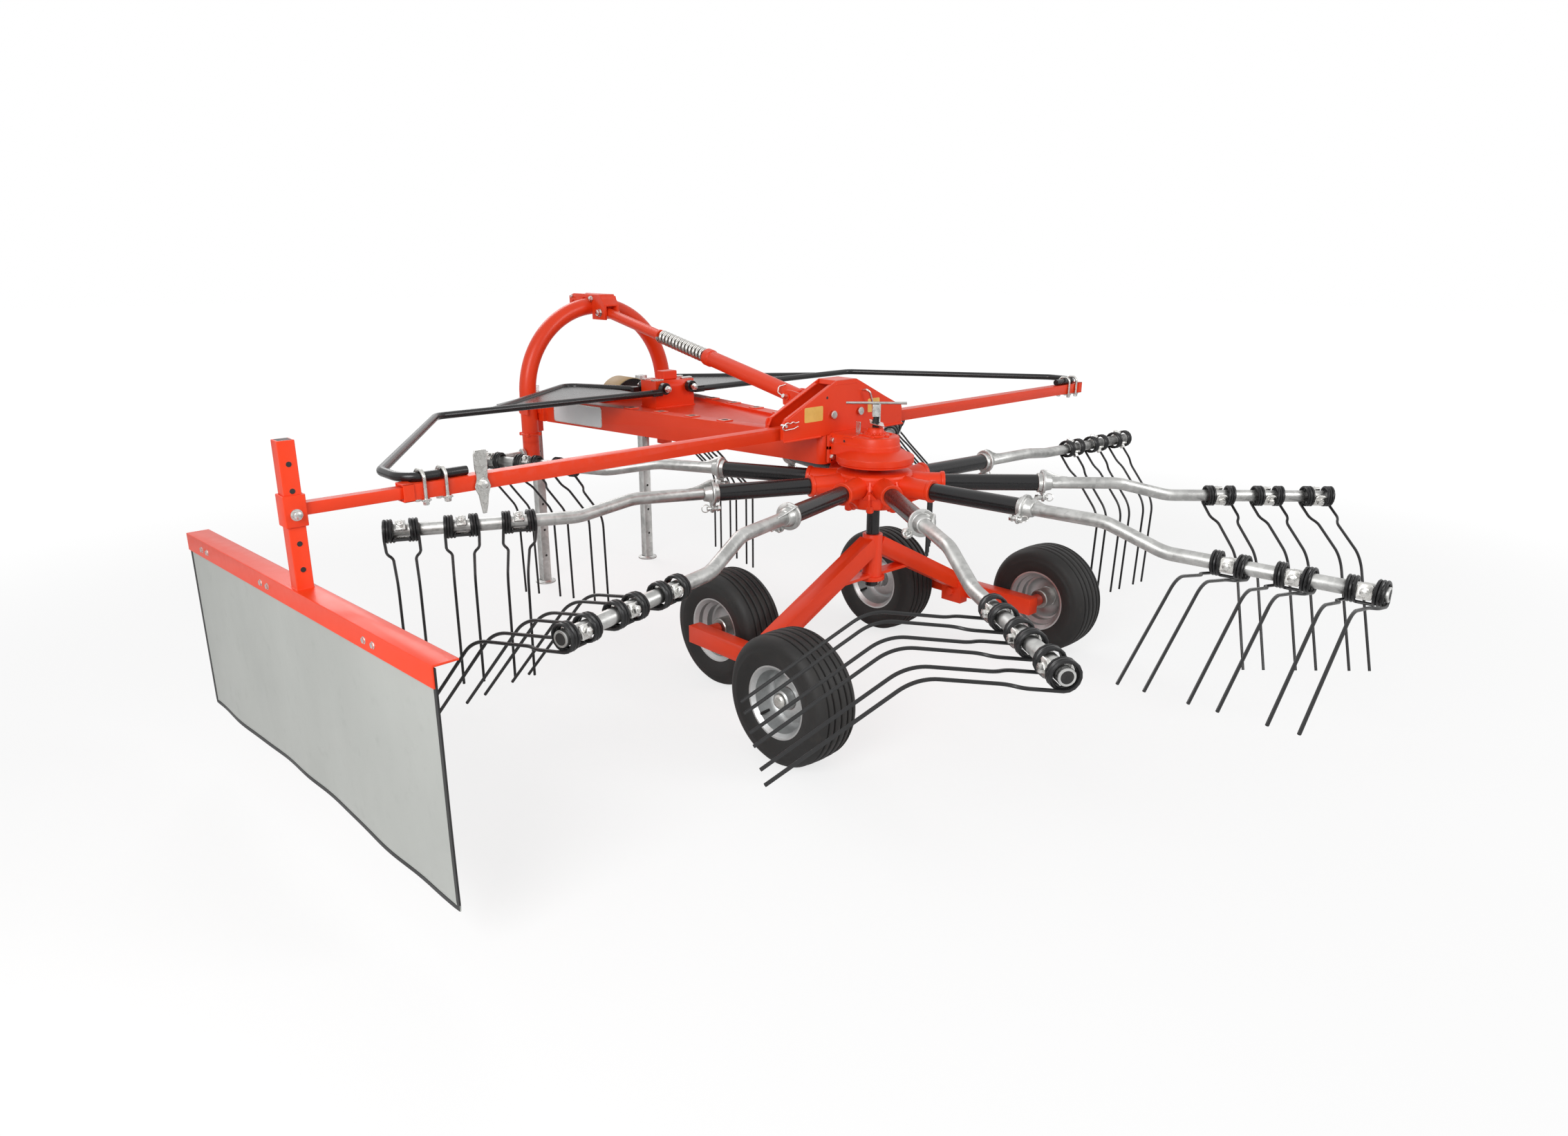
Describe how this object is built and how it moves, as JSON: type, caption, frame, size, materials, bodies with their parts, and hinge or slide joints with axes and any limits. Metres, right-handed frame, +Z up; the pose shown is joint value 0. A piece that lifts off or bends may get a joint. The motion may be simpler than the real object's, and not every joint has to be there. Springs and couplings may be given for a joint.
{
  "type": "single rotor hay rake",
  "caption": "Mounted rotary hay rake with one rotor of tine arms, a swath curtain, guard hoops, tandem wheels and an arched three-point headstock.",
  "frame": {"origin": "on the ground below the middle of the whole machine's box", "axes": "+X to the machine's right, +Y forward to the tractor, +Z up"},
  "size_m": [3.494, 3.4286, 1.281],
  "materials": {
    "red_paint": "satin orange red paint",
    "black_paint": "satin black paint",
    "galvanised": "zinc plated, softly mottled",
    "bare_steel": "plain steel, lightly oiled",
    "spring_steel": "plain spring wire",
    "tine_black": "black powder coat",
    "tyre": "ribbed rubber",
    "rim_silver": "silver paint",
    "hood_plastic": "tan moulded plastic",
    "curtain_grey": "coated grey sheet"
  },
  "bodies": {
    "frame": {"main_beam": "red_paint", "tower_plates": "red_paint", "gearbox_housing": "red_paint", "height_spindle": "bare_steel", "column_shaft": "bare_steel", "undercarriage_frame": "red_paint", "headstock_arch": "red_paint", "headstock_clevis": "red_paint", "lower_link_pins": "bare_steel", "strut_lower_tube": "red_paint", "strut_spring": "spring_steel", "strut_upper_tube": "red_paint", "input_hood": "hood_plastic", "input_shaft": "bare_steel", "guard_pivot_box": "red_paint", "stand_sleeves": "red_paint"},
    "rotor": {"rotor_hub": "red_paint", "arm_bearing_tubes": "black_paint", "arm_flanges": "galvanised", "tine_arms": "galvanised", "tines": "tine_black", "tine_clamps": "galvanised"},
    "bogie_left": {"walking_beam_left": "red_paint"},
    "wheel_rear_left": {"tyre_rear_left": "tyre", "rim_rear_left": "rim_silver"},
    "wheel_front_left": {"tyre_front_left": "tyre", "rim_front_left": "rim_silver"},
    "stand_left": {"stand_leg_left": "galvanised"},
    "wing_left": {"side_arm_left": "red_paint", "guard_hoop_left": "black_paint"},
    "bogie_right": {"walking_beam_right": "red_paint"},
    "wheel_rear_right": {"tyre_rear_right": "tyre", "rim_rear_right": "rim_silver"},
    "wheel_front_right": {"tyre_front_right": "tyre", "rim_front_right": "rim_silver"},
    "stand_right": {"stand_leg_right": "galvanised"},
    "wing_right": {"side_arm_right": "red_paint", "guard_hoop_right": "black_paint"},
    "curtain_carriage": {"curtain_slide_tube": "red_paint"},
    "curtain": {"curtain_frame": "red_paint", "curtain_sheet": "curtain_grey"}
  },
  "joints": [
    {"name": "rotor_turn", "type": "hinge", "parent": "frame", "child": "rotor", "pos_m": [0.15502, -0.08665, 0.705], "axis": [0, 0, 1], "continuous": true},
    {"name": "bogie_tilt_left", "type": "hinge", "parent": "frame", "child": "bogie_left", "pos_m": [-0.38798, -0.08665, 0.203], "axis": [1, 0, 0], "range_deg": [-15, 15]},
    {"name": "wheel_turn_rear_left", "type": "hinge", "parent": "bogie_left", "child": "wheel_rear_left", "pos_m": [-0.51898, -0.37965, 0.203], "axis": [1, 0, 0], "continuous": true},
    {"name": "wheel_turn_front_left", "type": "hinge", "parent": "bogie_left", "child": "wheel_front_left", "pos_m": [-0.25798, 0.20635, 0.203], "axis": [1, 0, 0], "continuous": true},
    {"name": "stand_slide_left", "type": "slide", "parent": "frame", "child": "stand_left", "axis": [0, 0, 1], "range_m": [0, 0.4]},
    {"name": "wing_fold_left", "type": "hinge", "parent": "frame", "child": "wing_left", "pos_m": [0.08702, 0.09635, 0.926], "axis": [0, 1, 0], "range_deg": [0, 85]},
    {"name": "bogie_tilt_right", "type": "hinge", "parent": "frame", "child": "bogie_right", "pos_m": [0.69802, -0.08665, 0.203], "axis": [1, 0, 0], "range_deg": [-15, 15]},
    {"name": "wheel_turn_rear_right", "type": "hinge", "parent": "bogie_right", "child": "wheel_rear_right", "pos_m": [0.82902, -0.37965, 0.203], "axis": [1, 0, 0], "continuous": true},
    {"name": "wheel_turn_front_right", "type": "hinge", "parent": "bogie_right", "child": "wheel_front_right", "pos_m": [0.56802, 0.20635, 0.203], "axis": [1, 0, 0], "continuous": true},
    {"name": "stand_slide_right", "type": "slide", "parent": "frame", "child": "stand_right", "axis": [0, 0, 1], "range_m": [0, 0.4]},
    {"name": "wing_fold_right", "type": "hinge", "parent": "frame", "child": "wing_right", "pos_m": [0.22302, 0.09635, 0.926], "axis": [0, -1, 0], "range_deg": [0, 85]},
    {"name": "curtain_reach", "type": "slide", "parent": "wing_left", "child": "curtain_carriage", "axis": [-1, 0, 0], "range_m": [-0.08, 0.3]},
    {"name": "curtain_height", "type": "slide", "parent": "curtain_carriage", "child": "curtain", "axis": [0, 0, 1], "range_m": [-0.08, 0.1]}
  ]
}
